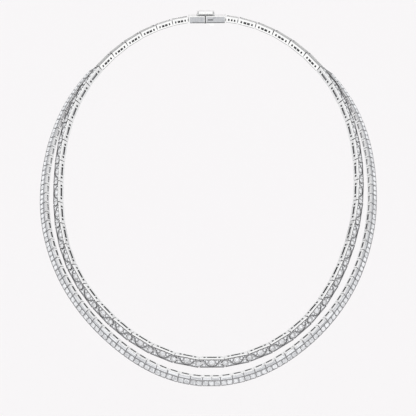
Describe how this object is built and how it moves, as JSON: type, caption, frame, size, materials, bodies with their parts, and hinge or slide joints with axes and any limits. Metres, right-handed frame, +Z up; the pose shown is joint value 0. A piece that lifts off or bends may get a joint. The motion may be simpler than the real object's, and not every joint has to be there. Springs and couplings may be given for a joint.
{
  "type": "diamond collar necklace",
  "caption": "Two-strand jewelled collar in its worn shape: pinned twist links above a row of channel links, closed by a box clasp at the nape.",
  "frame": {"origin": "the point on the clasp's inner wall, straight above the throat's middle, that rests on the nape", "axes": "+Z up, +X to the wearer's left, -Y from the nape to the throat; the loop slopes down towards the throat"},
  "size_m": [0.1302, 0.1405, 0.0754],
  "materials": {
    "white_metal": "polished white gold",
    "clear_stone": "faceted and polished"
  },
  "bodies": {
    "root": {"clasp_box": "white_metal", "clasp_tongue": "white_metal", "back_chain_right": "white_metal", "back_chain_left": "white_metal", "inner_strand_right": "white_metal", "inner_strand_left": "white_metal", "outer_strand_right": "white_metal", "outer_strand_left": "white_metal", "round_stones": "clear_stone", "baguette_stones": "clear_stone"}
  },
  "joints": []
}
